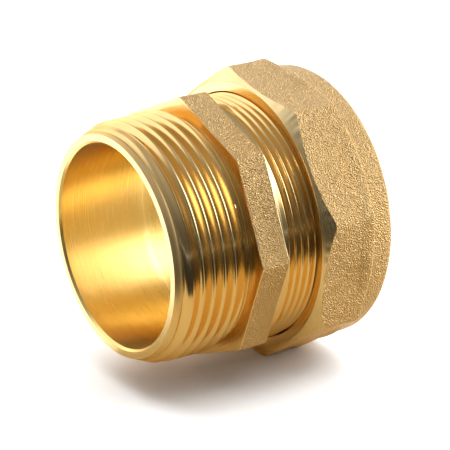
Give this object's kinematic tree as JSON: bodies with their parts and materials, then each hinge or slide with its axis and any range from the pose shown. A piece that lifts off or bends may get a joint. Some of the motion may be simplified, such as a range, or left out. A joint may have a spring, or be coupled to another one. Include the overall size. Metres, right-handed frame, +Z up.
{
  "type": "compression adaptor",
  "caption": "Straight brass compression adaptor: tapered male iron thread, octagonal body, and a compression nut and olive that grip a plain pipe.",
  "frame": {"origin": "centre of the end face of the tapered male thread", "axes": "+X along the waterway from the male end to the pipe end; +Z up, through a corner of the body's octagon; +Y to the left seen along +X"},
  "size_m": [0.046, 0.0582, 0.0582],
  "materials": {
    "body_brass": "turned threads, shot-blasted forged flats",
    "nut_brass": "shot-blasted forging with a turned front face",
    "olive_brass": "fine turned"
  },
  "bodies": {
    "fitting_body": {"fitting_body": "body_brass"},
    "olive": {"olive": "olive_brass"},
    "compression_nut": {"compression_nut": "nut_brass"}
  },
  "joints": [
    {"name": "nut_advance", "type": "slide", "parent": "fitting_body", "child": "olive", "axis": [1, 0, 0], "range_m": [-0.00125, 0.00485]},
    {"name": "nut_turn", "type": "hinge", "parent": "olive", "child": "compression_nut", "pos_m": [0.0355, 0, 0], "axis": [1, 0, 0], "range_deg": [-270, 1080]}
  ],
  "couplings": [
    {"joint": "nut_advance", "follows": "nut_turn", "m_per_rad": 0.00025465}
  ]
}
